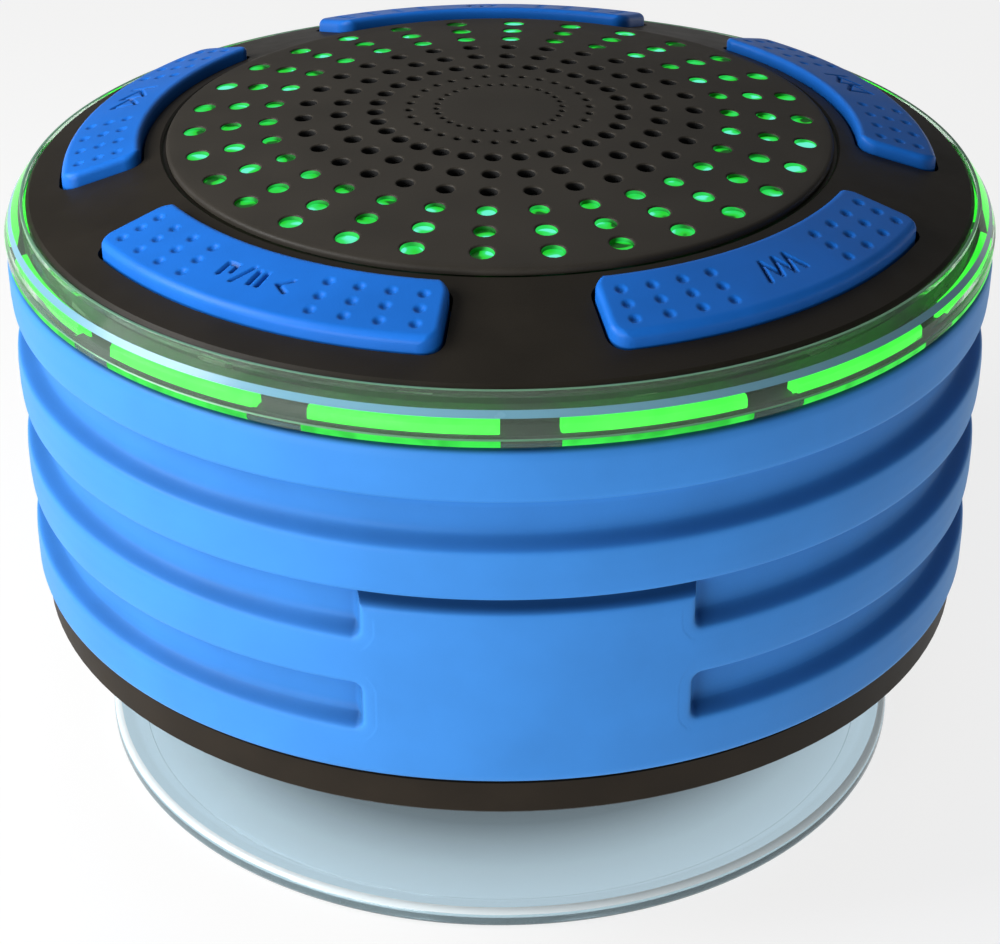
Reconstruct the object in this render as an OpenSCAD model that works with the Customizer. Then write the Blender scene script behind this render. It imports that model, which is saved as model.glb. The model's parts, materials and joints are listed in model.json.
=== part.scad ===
// Round floating shower speaker: suction cup base, ribbed silicone sleeve, light ring, domed grille.
// Millimetres. +Z is up, the front is -Y, and the origin is the middle of the suction cup's rim plane.

/* [Base cover] */
// Radius of the dark band under the sleeve
base_r = 55.3; // [54.5:0.1:55.6]
// Height of the base cover's underside above the surface
base_z = 20.7; // [20.5:0.1:22]
// Height of the dark band
band_h = 4.5; // [4:0.1:5]
// Thickness of the base cover's floor
base_floor_h = 2.4; // [2:0.1:2.6]

/* [Silicone sleeve] */
// Outer radius of the sleeve over its ribs
sleeve_r = 56.1; // [55.8:0.1:56.4]
// Height of the sleeve
sleeve_h = 39.5; // [39:0.5:40]
// Depth of the grooves
groove_depth = 2.3; // [1.5:0.1:2.6]
// Height of one groove, which is also the height of one rib
groove_h = 5.6; // [5:0.1:5.8]
// Half of the angle that the smooth front and back panels span
panel_half_angle = 17.6; // [15:0.2:20]
// Radius of the rounded edges of the ribs
rib_edge_r = 0.6; // [0.3:0.1:0.8]
// Radius of the hollow corners at the bottom of the grooves
groove_corner_r = 1.2; // [0.6:0.1:1.6]

/* [Top plate] */
// Outer radius of the top plate
plate_r = 53.5; // [53:0.1:53.5]
// Height of the top plate's outer edge
plate_edge_z = 70.3; // [70:0.1:70.6]
// Height of the top plate beside the grille
plate_inner_z = 74.6; // [74.4:0.1:74.7]
// Thickness of the top plate
plate_t = 2.0; // [1.6:0.1:2.2]

/* [Light ring] */
// Outer radius of the clear light ring
ring_r = 56.1; // [55.9:0.1:56.4]
// Number of light bars inside the ring
bar_count = 14; // [10:1:18]
// Angle that one light bar spans
bar_angle = 19.6; // [12:0.2:19.8]

/* [Grille] */
// Radius of the grille disc
grille_r = 37.6; // [37.2:0.1:37.7]
// Height of the middle of the grille
grille_top_z = 77.7; // [77.5:0.1:78.2]
// Radius of the sphere that the grille is part of
grille_dome_r = 270; // [250:5:300]
// Thickness of the grille
grille_t = 0.8; // [0.7:0.1:1.2]
// Number of straight rows of holes
grille_rows = 30; // [24:1:30]

/* [Buttons] */
// Number of buttons
button_count = 5; // [5:1:5]
// Inner radius of a button
button_in_r = 40.4; // [40.2:0.1:41]
// Outer radius of a button
button_out_r = 49.3; // [48:0.1:49.4]
// Half of the angle that a button spans
button_half_angle = 26.2; // [22:0.2:26.4]
// Height of a button above the plate
button_rise = 1.5; // [1:0.1:1.8]

/* [Driver] */
// Outer radius of the loudspeaker driver's flange
driver_r = 26; // [25.5:0.1:26.2]
// Radius of the cone at its outer edge
cone_r = 18.5; // [18:0.1:18.8]
// Radius of the voice coil former
coil_r = 6.5; // [6.4:0.05:6.6]
// Radius of the magnet
magnet_r = 16; // [14.5:0.1:16.5]

/* [Battery and boards] */
// Length of the battery cell
battery_l = 46; // [40:1:46]
// Width of the battery cell
battery_w = 26; // [20:1:26]
// Thickness of the battery cell
battery_h = 8; // [6:0.5:9]
// Radius of the main board
main_board_r = 46.5; // [45:0.5:47]

/* [Charging port] */
// Width of the port flap
flap_w = 14.4; // [13:0.2:15]
// Height of the port flap above its hinge
flap_h = 9.6; // [9:0.1:9.8]
// Thickness of the port flap
flap_t = 1.6; // [1.4:0.1:1.8]

/* [Suction cup] */
// Radius of the suction cup's rim
cup_r = 49.2; // [47:0.1:50]
// Thickness of the cup at its rim
cup_rim_t = 1.4; // [1.2:0.1:1.8]
// Thickness of the cup beside its hub
cup_hub_t = 3.6; // [3:0.1:4]
// Radius of the cup's hub
hub_r = 13; // [12:0.5:15]
// Radius of the threaded stud
stud_r = 5; // [4.5:0.1:5]
// Length of stud that is held in the threaded insert
stud_grip = 8; // [6:0.5:9]

/* [Hidden] */
$fn = 120;

// Clearances
gap = 0.3;
slip = 0.1;
screw_slip = 0.1;
eps = 0.01;

// Angles: the front panel and the gap between the two front buttons face this way
front = -90;
button_step = 360 / button_count;
button_angles = [for (i = [0:button_count - 1]) front + button_step * (i + 0.5)];
boss_angles = [for (i = [0:button_count - 1]) front + button_step * i];

// Heights of the outside
band_top_z = base_z + band_h;
base_floor_z = base_z + base_floor_h;
base_bevel = 0.45;
sleeve_z = band_top_z + 0.05;
sleeve_top_z = band_top_z + sleeve_h;
groove_z = [for (i = [0:2]) sleeve_z + groove_h * (1.5 + 2 * i)];
panel_groove_h = 1.6;

// Housing
housing_r = 50.6;
housing_wall = 2;
housing_in_r = housing_r - housing_wall;
housing_bottom_z = base_floor_z + 1.2;
deck_z = sleeve_top_z;
deck_t = 2.4;
deck_hole_r = 23;
flange_r = 54.5;
flange_in_r = 49.9;
flange_top_z = deck_z + 0.85;
sleeve_in_r = housing_r + 0.15;

// Screw bosses
boss_ring_r = 43.5;
boss_r = 3.2;
boss_top_z = 34;
screw_r = 1.25;
screw_head_r = 2.5;
screw_head_h = 1.3;
plate_boss_ring_r = 45;
plate_boss_r = 3;

// Top plate
seat_out_r = 38;
plate_slope = (plate_inner_z - plate_edge_z) / (plate_r - seat_out_r);
seat_in_r = 36.6;
seat_z = 74.15;
seat_bottom_z = 72;
plate_lip_r = 50.9;
plate_lip_z = 69.35;

// Light ring
ring_bottom_z = deck_z + 0.25;
ring_in_r = 51.2;
ring_leg_r = 52.2;
ring_leg_z = flange_top_z + 1.05;
channel_r = 55.5;
channel_top_z = 67.7;
bar_in_r = 53.4;
bar_out_r = 55.25;
bar_foot_r = 54.3;
bar_z = flange_top_z + 0.5;
bar_top_z = 67.4;
top_seal_r = 0.48;

// Grille holes: radius of each ring of holes and radius of its holes
ring_radii = [34.4, 30.3, 26.1, 22.1, 18.1, 14, 10.2, 7.1];
hole_radii = [1.25, 1.15, 1.05, 0.95, 0.95, 0.9, 0.42, 0.34];
cloth_r = 24.5;
cloth_t = 0.25;
dome_fn = 300;

// Buttons
button_ring_r = (button_in_r + button_out_r) / 2;
window_gap = 0.35;
button_corner_r = 2;
lip_w = 1;
lip_t = 1;
pocket_r = 4.4;
pocket_top_z = 70.7;
stem_r = 1.8;
plunger_r = 1.5;
plunger_top_z = 69.2;
plunger_bottom_z = 67.9;

// Control board under the top plate
board_t = 1.2;
control_z = 66;
control_post_ring_r = 29.5;
control_top_z = control_z + board_t;
control_in_r = 27.2;
control_out_r = 49.6;
switch_w = 5.2;
switch_h = 1.5;
diffuser_in_r = 24.7;
diffuser_leg_r = 27.3;
diffuser_out_r = 36.2;
diffuser_top_z = 74.1;
diffuser_t = 0.8;
lit_rings = 3;
peg_slip = 0.12;
peg_depth = 0.4;
grille_led_count = 15;
grille_led_ring_r = 32;
ring_led_ring_r = 48.9;
ring_led_w = 1.3;
ring_led_l = 3.5;

// Driver
gasket_t = 0.6;
flange_t = 1.2;
driver_flange_z = deck_z + gasket_t;
driver_front_z = driver_flange_z + flange_t;
basket_step_z = 56.2;
basket_floor_z = 54.5;
basket_t = 1;
basket_neck_r = 15.5;
basket_bore_r = 8;
pole_plate_t = 3;
pole_plate_z = basket_floor_z - basket_t - pole_plate_t;
magnet_t = 7;
magnet_z = pole_plate_z - magnet_t;
yoke_t = 3;
yoke_z = magnet_z - yoke_t;
pole_r = coil_r - 0.5;
gap_out_r = coil_r + 0.8;
coil_t = 0.4;
coil_bottom_z = 49;
cone_neck_z = 57.2;
cone_edge_z = driver_front_z;
cone_t = 0.5;
surround_t = 0.4;
surround_out_r = 23.6;
driver_screw_ring_r = 24.6;
driver_screw_r = 0.85;
driver_screw_head_r = 1.25;
roll_out_r = 23;
spider_in_r = coil_r + 0.05;
spider_out_r = 14.4;
spider_t = 0.3;

// Boards and battery
main_board_t = 1.6;
main_board_z = 36;
main_board_top_z = main_board_z + main_board_t;
board_posts = [[32, 20], [-32, 20], [31, -22], [-31, -22]];
post_r = 2.6;
battery_y = -36.9;
battery_z = base_floor_z + 0.6;
usb_w = 7.6;
usb_h = 2.7;
usb_d = 6;
usb_y = 47.2;
usb_z = main_board_top_z + 0.05;

// Ribbon between the boards
ribbon_y = 35.2;
ribbon_w = 8;
ribbon_t = 0.4;

// Wires
wire_r = 0.6;
wire_bend_r = 2.2;
wire_pitch = 2.6;
speaker_plug_r = 34;
speaker_plug_angle = -125;
speaker_plug_top_z = 43;
lead_top_z = 58;
lead_end_r = 17.9;

// Port flap: hinge line, recess and opening
flap_axis_y = 55;
flap_axis_z = 34.2;
recess_y = flap_axis_y - flap_t / 2 - 0.3;
recess_half_w = flap_w / 2 + gap;
port_w = 10.4;
port_z = 36.8;
port_h = 5.4;
nub_w = 8.4;
nub_z = usb_z - 0.1;
nub_h = 2.9;
nub_d = 1.4;
notch_w = 5;
notch_h = 1.2;

// Suction cup and its stud
lip_flat_in_r = 45;
cup_rise = 13.4;
hub_top_z = 19.1;
hub_under_z = 12;
insert_r = 7;
insert_z = base_z + 0.2;
insert_h = 12;
insert_bore_r = stud_r + 0.08;
base_boss_r = 10;
base_boss_top_z = 34;
stud_top_z = insert_z + stud_grip;
stud_head_r = 9;
stud_head_h = 2.4;
cup_steps = 14;

// ---------- shared shapes ----------

function polar(r, a) = [r * cos(a), r * sin(a)];

// Points on an arc about a centre
function arc(c, r, a0, a1, n) = [for (i = [0:n]) c + polar(r, a0 + (a1 - a0) * i / n)];

// Height of the top plate's upper face at a radius
function plate_z(r) = plate_inner_z - (r - seat_out_r) * plate_slope;

// Height of the grille's upper face at a radius
function dome_z(r) = grille_top_z - grille_dome_r + sqrt(grille_dome_r * grille_dome_r - r * r);

// Outline of a ring sector centred on +X with rounded corners
function sector_outline(r_in, r_out, half, c) =
    let (a_out = half - asin(c / (r_out - c)), a_in = half - asin(c / (r_in + c)))
    concat(
        arc([0, 0], r_out, -a_out, a_out, 20),
        arc(polar(r_out - c, a_out), c, a_out, half + 90, 5),
        arc(polar(r_in + c, a_in), c, half + 90, a_in + 180, 5),
        arc([0, 0], r_in, a_in, -a_in, 20),
        arc(polar(r_in + c, -a_in), c, 180 - a_in, 270 - half, 5),
        arc(polar(r_out - c, -a_out), c, -half - 90, -a_out, 5)
    );

// Ring with a rectangular section
module tube(r_out, r_in, z, h) {
    translate([0, 0, z])
        difference() {
            cylinder(r = r_out, h = h);
            translate([0, 0, -1])
                cylinder(r = r_in, h = h + 2);
        }
}

// Copies on a circle
module around(angles, r) {
    for (a = angles)
        rotate([0, 0, a])
            translate([r, 0, 0])
                children();
}

// Angles of n equal steps, starting from an offset
function steps(n, offset = 0) = [for (i = [0:n - 1]) offset + 360 / n * i];

// Block centred in X and Y that stands on a height
module block(w, d, z, h) {
    translate([-w / 2, -d / 2, z])
        cube([w, d, h]);
}

// Layer that follows the top plate's slope between two heights above its upper face
module slope_layer(low, high) {
    rotate_extrude()
        polygon([
            [seat_out_r, plate_z(seat_out_r) + low],
            [plate_r, plate_z(plate_r) + low],
            [plate_r, plate_z(plate_r) + high],
            [seat_out_r, plate_z(seat_out_r) + high]
        ]);
}

// Upright column with a sector outline
module sector_column(r_in, r_out, half, corner) {
    translate([0, 0, 60])
        linear_extrude(20)
            polygon(sector_outline(r_in, r_out, half, corner));
}

// Screw that points along +Z, with its head's underside at z = 0
module screw(length) {
    cylinder(r = screw_r, h = length, $fn = 32);
    translate([0, 0, -screw_head_h])
        difference() {
            cylinder(r = screw_head_r, h = screw_head_h, $fn = 48);
            translate([-1.6, -0.3, -eps])
                cube([3.2, 0.6, 0.5]);
            translate([-0.3, -1.6, -eps])
                cube([0.6, 3.2, 0.5]);
        }
}

// Round wire that rises, bends towards -X and runs on level
module lead(rise, run) {
    cylinder(r = wire_r, h = rise, $fn = 24);
    translate([-wire_bend_r, 0, rise])
        rotate([90, 0, 0])
            rotate_extrude(angle = 90, $fn = 48)
                translate([wire_bend_r, 0])
                    circle(r = wire_r, $fn = 24);
    if (run > 0)
        translate([-wire_bend_r, 0, rise + wire_bend_r])
            rotate([0, -90, 0])
                cylinder(r = wire_r, h = run, $fn = 24);
}

// ---------- suction cup ----------

// Height of the cup's outer face, where s runs from 0 at the rim to 1 at the hub
function cup_out_z(s) = cup_rim_t + 0.4 + cup_rise * (0.5 * s + 0.5 * s * s * (3 - 2 * s));
function cup_edge_r(s) = (cup_r - 2.6) + (hub_r - cup_r + 2.6) * s;
function cup_t(s) = cup_rim_t + (cup_hub_t - cup_rim_t) * s;

module suction_cup() {
    outer = [for (i = [0:cup_steps]) [cup_edge_r(i / cup_steps), cup_out_z(i / cup_steps)]];
    inner = [for (i = [cup_steps:-1:1])
        [cup_edge_r(i / cup_steps), cup_out_z(i / cup_steps) - cup_t(i / cup_steps)]];
    rim = [
        [lip_flat_in_r, 0],
        [cup_r - 0.6, 0],
        [cup_r, 0.6],
        [cup_r, 1.6],
        [cup_r - 0.6, 2.2],
        [cup_r - 1.6, 2.2]
    ];
    color([0.72, 0.84, 0.9, 0.5])
        rotate_extrude($fn = 180)
            polygon(concat(
                rim,
                outer,
                [[hub_r, hub_top_z], [stud_r + slip, hub_top_z], [stud_r + slip, hub_under_z]],
                [[stud_head_r + 0.6, hub_under_z]],
                inner
            ));
}

module cup_stud() {
    color([0.8, 0.88, 0.92, 0.7]) {
        translate([0, 0, hub_under_z - stud_head_h - 0.05])
            cylinder(r = stud_head_r, h = stud_head_h);
        translate([0, 0, hub_under_z - stud_head_h / 2])
            cylinder(r = stud_r, h = stud_top_z - hub_under_z + stud_head_h / 2);
    }
}

module cup_washer() {
    color("dimgray")
        tube(hub_r - 1, stud_r + gap, hub_top_z + 0.05, base_z - hub_top_z - 0.1);
}

// ---------- base ----------

module base_cover() {
    color([0.2, 0.17, 0.14])
        difference() {
            union() {
                rotate_extrude($fn = 180)
                    polygon([
                        [0, base_z],
                        [base_r - base_bevel, base_z],
                        [base_r, base_z + base_bevel],
                        [base_r, band_top_z - base_bevel],
                        [base_r - base_bevel, band_top_z],
                        [housing_r + gap, band_top_z],
                        [housing_r + gap, base_floor_z],
                        [0, base_floor_z]
                    ]);
                translate([0, 0, base_z])
                    cylinder(r = base_boss_r, h = base_boss_top_z - base_z);
                for (p = board_posts)
                    translate([p[0], p[1], base_floor_z - eps])
                        cylinder(r = post_r, h = main_board_z - base_floor_z + eps);
            }
            translate([0, 0, base_z - 1])
                cylinder(r = insert_r + slip / 2, h = insert_z + insert_h - base_z + 1);
            around(boss_angles, boss_ring_r) {
                translate([0, 0, base_z - 1])
                    cylinder(r = screw_r + 0.3, h = 6, $fn = 32);
                translate([0, 0, base_z - 1])
                    cylinder(r = screw_head_r + 0.4, h = 1 + screw_head_h + 0.1, $fn = 48);
            }
            for (p = board_posts)
                translate([p[0], p[1], main_board_z - 8])
                    cylinder(r = screw_r + screw_slip, h = 9, $fn = 32);
        }
}

module threaded_insert() {
    color("goldenrod")
        difference() {
            tube(insert_r, insert_bore_r, insert_z, insert_h);
            for (z = [insert_z + 3.5, insert_z + 7.5])
                tube(insert_r + 1, insert_r - 0.5, z, 1);
        }
}

module base_seal() {
    color([0.1, 0.1, 0.1])
        rotate_extrude()
            translate([housing_r - housing_wall / 2, base_floor_z + 0.6])
                circle(r = 0.55, $fn = 32);
}

module base_screws() {
    color("silver")
        around(boss_angles, boss_ring_r)
            translate([0, 0, base_z + screw_head_h + 0.1])
                screw(8.5);
}

// ---------- housing and sleeve ----------

module port_cut(y0, y1) {
    translate([-port_w / 2, y0, port_z])
        cube([port_w, y1 - y0, port_h]);
}

module housing() {
    color([0.15, 0.15, 0.15])
        difference() {
            union() {
                tube(housing_r, housing_in_r, housing_bottom_z, deck_z - housing_bottom_z);
                tube(housing_in_r + eps, deck_hole_r, deck_z - deck_t, deck_t);
                tube(flange_r, flange_in_r, deck_z - eps, flange_top_z - deck_z + eps);
                around(boss_angles, boss_ring_r)
                    translate([0, 0, base_floor_z + 0.1])
                        cylinder(r = boss_r, h = boss_top_z - base_floor_z - 0.1);
                around(boss_angles, boss_ring_r)
                    translate([0, -1, housing_bottom_z])
                        cube([housing_in_r - boss_ring_r + 0.5, 2, boss_top_z - housing_bottom_z]);
                around(steps(6, 30), control_post_ring_r)
                    translate([0, 0, deck_z - eps])
                        cylinder(r = 1.5, h = control_z - deck_z + eps, $fn = 32);
            }
            around(boss_angles, boss_ring_r)
                translate([0, 0, base_floor_z - 1])
                    cylinder(r = screw_r + screw_slip, h = 10, $fn = 32);
            around(boss_angles, plate_boss_ring_r)
                translate([0, 0, deck_z - deck_t - 1])
                    cylinder(r = screw_r + gap, h = deck_t + 2, $fn = 32);
            around(steps(4, 45), driver_screw_ring_r)
                translate([0, 0, deck_z - deck_t - 1])
                    cylinder(r = driver_screw_r + 0.05, h = deck_t + 2, $fn = 24);
            port_cut(housing_in_r - 2, housing_r + 2);
            translate([0, ribbon_y, 0])
                block(ribbon_w + 4, 2.8, deck_z - deck_t - 1, deck_t + 2);
        }
}

// Section of a groove, with rounded rib edges and hollow bottom corners
module groove_profile(h, outer = sleeve_r) {
    k = h / 2;
    c = min(groove_corner_r, k * 0.6);
    bottom = outer - groove_depth;
    polygon(concat(
        [[outer + 2, k + rib_edge_r]],
        arc([outer - rib_edge_r, k + rib_edge_r], rib_edge_r, 0, -90, 4),
        arc([bottom + c, k - c], c, 90, 180, 5),
        arc([bottom + c, c - k], c, 180, 270, 5),
        arc([outer - rib_edge_r, -k - rib_edge_r], rib_edge_r, 90, 0, 4),
        [[outer + 2, -k - rib_edge_r]]
    ));
}

module groove(z, h, start, span) {
    rotate([0, 0, start])
        translate([0, 0, z])
            rotate_extrude(angle = span, $fn = 180)
                groove_profile(h);
}

module silicone_sleeve() {
    side_span = 180 - 2 * panel_half_angle;
    strip_z = groove_z[1] + (groove_h - panel_groove_h) / 2;
    color([0.22, 0.5, 0.95])
        difference() {
            translate([0, 0, sleeve_z])
                rotate_extrude($fn = 180)
                    polygon([
                        [sleeve_in_r, 0],
                        [sleeve_r - 0.4, 0],
                        [sleeve_r, 0.4],
                        [sleeve_r, sleeve_h - 0.7],
                        [sleeve_r - 0.6, sleeve_h - 0.1],
                        [sleeve_in_r, sleeve_h - 0.1]
                    ]);
            groove(groove_z[2], groove_h, 0, 360);
            for (side = [0, 180], z = [groove_z[0], groove_z[1]])
                groove(z, groove_h, front + panel_half_angle + side, side_span);
            for (side = [0, 180])
                groove(strip_z, panel_groove_h, front - panel_half_angle + side, 2 * panel_half_angle);
            port_cut(housing_r - 1, sleeve_r + 1);
            translate([-recess_half_w, recess_y, flap_axis_z - flap_t / 2 - gap])
                cube([2 * recess_half_w, 10, flap_h + flap_t / 2 + 2 * gap]);
            translate([-notch_w / 2, recess_y + 0.6, flap_axis_z + flap_h])
                cube([notch_w, 10, notch_h]);
        }
}

// Flap that turns about its round lower edge, with a nub that plugs the opening
module port_flap() {
    color([0.2, 0.46, 0.9]) {
        intersection() {
            union() {
                translate([-flap_w / 2, flap_axis_y, flap_axis_z])
                    rotate([0, 90, 0])
                        cylinder(r = flap_t / 2, h = flap_w, $fn = 48);
                translate([-flap_w / 2, flap_axis_y - flap_t / 2, flap_axis_z])
                    cube([flap_w, flap_t, flap_h]);
            }
            translate([0, 0, flap_axis_z - 2])
                cylinder(r = sleeve_r, h = flap_h + 4, $fn = 180);
        }
        translate([-nub_w / 2, flap_axis_y - flap_t / 2 - nub_d, nub_z])
            cube([nub_w, nub_d + 0.2, nub_h]);
    }
}

// ---------- top ----------

module top_plate() {
    color([0.2, 0.18, 0.16])
        difference() {
            union() {
                rotate_extrude($fn = 180)
                    polygon([
                        [seat_out_r, plate_inner_z - 0.3],
                        [seat_out_r + 0.3, plate_z(seat_out_r + 0.3)],
                        [plate_r - 0.4, plate_z(plate_r - 0.4)],
                        [plate_r, plate_z(plate_r) - 0.3],
                        [plate_r, plate_lip_z],
                        [plate_lip_r, plate_lip_z],
                        [plate_lip_r, plate_z(plate_lip_r) - plate_t],
                        [seat_out_r + 1, plate_z(seat_out_r + 1) - plate_t],
                        [seat_out_r + 1, seat_bottom_z],
                        [seat_in_r, seat_bottom_z],
                        [seat_in_r, seat_z],
                        [seat_out_r, seat_z]
                    ]);
                around(boss_angles, plate_boss_ring_r)
                    translate([0, 0, deck_z + 0.05])
                        cylinder(r = plate_boss_r, h = plate_z(plate_boss_ring_r) - 1 - deck_z);
            }
            for (a = button_angles)
                rotate([0, 0, a])
                    sector_column(
                        button_in_r - window_gap,
                        button_out_r + window_gap,
                        button_half_angle + 0.45,
                        button_corner_r
                    );
            around(boss_angles, plate_boss_ring_r)
                translate([0, 0, deck_z - 1])
                    cylinder(r = screw_r + screw_slip, h = 6.5, $fn = 32);
        }
}

module plate_screws() {
    color("silver")
        around(boss_angles, plate_boss_ring_r)
            translate([0, 0, deck_z - deck_t])
                screw(7);
}

module top_seal() {
    color([0.1, 0.1, 0.1])
        rotate_extrude()
            translate([(ring_in_r + ring_leg_r) / 2, flange_top_z + 0.5])
                circle(r = top_seal_r, $fn = 32);
}

module light_ring() {
    color([0.75, 0.9, 0.92, 0.45])
        rotate_extrude($fn = 180)
            polygon([
                [channel_r, ring_bottom_z],
                [ring_r, ring_bottom_z],
                [ring_r, ring_bottom_z + 1.95],
                [ring_r - 0.45, ring_bottom_z + 3.05],
                [plate_r + 0.5, plate_edge_z - 0.1],
                [plate_r + 0.3, plate_edge_z - 0.1],
                [plate_r + 0.3, plate_lip_z - 0.1],
                [ring_in_r, plate_lip_z - 0.1],
                [ring_in_r, ring_leg_z],
                [ring_leg_r, ring_leg_z],
                [ring_leg_r, channel_top_z],
                [channel_r - 0.5, channel_top_z],
                [channel_r, channel_top_z - 0.5]
            ]);
}

module light_bars() {
    color([0.3, 0.95, 0.3])
        for (a = steps(bar_count, front + 180 / bar_count))
            rotate([0, 0, a - bar_angle / 2])
                rotate_extrude(angle = bar_angle)
                    polygon([
                        [bar_in_r, flange_top_z + 0.1],
                        [bar_foot_r, flange_top_z + 0.1],
                        [bar_foot_r, bar_z],
                        [bar_out_r, bar_z],
                        [bar_out_r, bar_top_z - 0.4],
                        [bar_out_r - 0.4, bar_top_z],
                        [bar_in_r, bar_top_z]
                    ]);
}

module dome_shell(r_top, t, radius, z0) {
    intersection() {
        translate([0, 0, grille_top_z - grille_dome_r])
            difference() {
                sphere(r = r_top, $fn = dome_fn);
                sphere(r = r_top - t, $fn = dome_fn);
            }
        translate([0, 0, z0])
            cylinder(r = radius, h = 10, $fn = 180);
    }
}

module grille_disc() {
    color([0.24, 0.22, 0.2])
        difference() {
            dome_shell(grille_dome_r, grille_t, grille_r, 71);
            for (k = [0:len(ring_radii) - 1])
                around(steps(grille_rows, front + 180 / grille_rows), ring_radii[k])
                    translate([0, 0, 71])
                        cylinder(r = hole_radii[k], h = 8, $fn = 24);
        }
}

module grille_cloth() {
    color([0.05, 0.05, 0.05])
        dome_shell(grille_dome_r - grille_t - 0.1, cloth_t, cloth_r, 71);
}

// Milky carrier with a light peg in each hole of the outer rings
module glow_diffuser() {
    color([0.5, 1, 0.7]) {
        rotate_extrude($fn = 180)
            polygon([
                [diffuser_leg_r, control_top_z + 0.05],
                [diffuser_leg_r + diffuser_t, control_top_z + 0.05],
                [diffuser_leg_r + diffuser_t, diffuser_top_z - diffuser_t],
                [diffuser_out_r - diffuser_t, diffuser_top_z - diffuser_t],
                [diffuser_out_r - diffuser_t, control_top_z + 0.05],
                [diffuser_out_r, control_top_z + 0.05],
                [diffuser_out_r, diffuser_top_z],
                [diffuser_in_r, diffuser_top_z],
                [diffuser_in_r, diffuser_top_z - diffuser_t],
                [diffuser_leg_r, diffuser_top_z - diffuser_t]
            ]);
        for (k = [0:lit_rings - 1])
            around(steps(grille_rows, front + 180 / grille_rows), ring_radii[k])
                translate([0, 0, diffuser_top_z - diffuser_t / 2])
                    cylinder(
                        r = hole_radii[k] - peg_slip,
                        h = dome_z(ring_radii[k]) - peg_depth - diffuser_top_z + diffuser_t / 2,
                        $fn = 24
                    );
    }
}

// ---------- buttons and control board ----------

module button(angle) {
    color([0.13, 0.42, 0.85])
        rotate([0, 0, angle]) {
            difference() {
                union() {
                    intersection() {
                        sector_column(button_in_r, button_out_r, button_half_angle, button_corner_r);
                        slope_layer(-plate_t - 0.3 - lip_t, button_rise);
                    }
                    intersection() {
                        sector_column(
                            button_in_r - lip_w,
                            button_out_r + lip_w,
                            button_half_angle + 1.4,
                            button_corner_r + lip_w
                        );
                        slope_layer(-plate_t - 0.3 - lip_t, -plate_t - 0.3);
                    }
                }
                translate([button_ring_r, 0, 60])
                    cylinder(r = pocket_r, h = pocket_top_z - 60, $fn = 48);
            }
            translate([button_ring_r, 0, plunger_top_z])
                cylinder(r = stem_r, h = pocket_top_z - plunger_top_z + 0.5, $fn = 48);
        }
}

module plunger(angle) {
    color("white")
        rotate([0, 0, angle])
            translate([button_ring_r, 0, plunger_bottom_z])
                cylinder(r = plunger_r, h = plunger_top_z - plunger_bottom_z, $fn = 32);
}

module control_board() {
    color([0.05, 0.3, 0.15])
        difference() {
            tube(control_out_r, control_in_r, control_z, board_t);
            around(boss_angles, plate_boss_ring_r)
                translate([0, 0, control_z - 1])
                    cylinder(r = plate_boss_r + gap, h = board_t + 2, $fn = 48);
        }
}

module switch_bodies() {
    color([0.12, 0.12, 0.12])
        around(button_angles, button_ring_r)
            difference() {
                block(switch_w, switch_w, control_top_z + 0.02, switch_h);
                translate([0, 0, control_top_z - 1])
                    cylinder(r = plunger_r + gap, h = switch_h + 2, $fn = 32);
            }
}

module grille_leds() {
    color("white")
        around(steps(grille_led_count, front), grille_led_ring_r)
            block(3.5, 2.8, control_top_z + 0.02, 1.2);
}

module ring_leds() {
    color("white")
        around(steps(bar_count, front + 180 / bar_count), ring_led_ring_r)
            block(ring_led_w, ring_led_l, control_z - 1.02, 1);
}

module microphone() {
    color("silver")
        rotate([0, 0, front + 12])
            translate([grille_led_ring_r, 0, control_top_z + 0.02])
                cylinder(r = 1.6, h = 1.3, $fn = 48);
}

// ---------- driver ----------

module driver_basket() {
    color([0.2, 0.2, 0.22])
        difference() {
            rotate_extrude()
                polygon([
                    [basket_bore_r, basket_floor_z - basket_t],
                    [basket_neck_r, basket_floor_z - basket_t],
                    [basket_neck_r, basket_floor_z + 1],
                    [deck_hole_r - 0.4, driver_flange_z],
                    [driver_r, driver_flange_z],
                    [driver_r, driver_front_z],
                    [deck_hole_r - 1.6, driver_front_z],
                    [basket_neck_r - 1.1, basket_step_z + 0.4],
                    [basket_neck_r - 1.1, basket_step_z],
                    [spider_out_r - 2, basket_step_z],
                    [spider_out_r - 2, basket_floor_z],
                    [basket_bore_r, basket_floor_z]
                ]);
            for (a = steps(4, 0))
                rotate([0, 0, a])
                    translate([13.5, -6, 58])
                        cube([12, 12, 5]);
            around(steps(4, 45), driver_screw_ring_r)
                translate([0, 0, driver_flange_z - 1])
                    cylinder(r = driver_screw_r + gap, h = flange_t + 2, $fn = 24);
        }
}

module driver_gasket() {
    color([0.1, 0.1, 0.1])
        difference() {
            tube(driver_r, deck_hole_r, deck_z + 0.05, gasket_t - 0.1);
            around(steps(4, 45), driver_screw_ring_r)
                translate([0, 0, deck_z - 1])
                    cylinder(r = driver_screw_r + gap, h = gasket_t + 2, $fn = 24);
        }
}

module driver_screws() {
    color("silver")
        around(steps(4, 45), driver_screw_ring_r) {
            translate([0, 0, deck_z - deck_t + 0.2])
                cylinder(r = driver_screw_r, h = driver_front_z + surround_t - deck_z + deck_t, $fn = 24);
            translate([0, 0, driver_front_z + surround_t + 0.1])
                cylinder(r = driver_screw_head_r, h = 0.9, $fn = 32);
        }
}

module driver_magnet() {
    color([0.25, 0.25, 0.27])
        tube(magnet_r, coil_r + 2, magnet_z + 0.02, magnet_t - 0.04);
}

module driver_yoke() {
    color("silver") {
        translate([0, 0, yoke_z])
            cylinder(r = magnet_r - 1, h = yoke_t);
        translate([0, 0, yoke_z])
            cylinder(r = pole_r, h = basket_floor_z - basket_t - yoke_z);
    }
}

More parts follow.
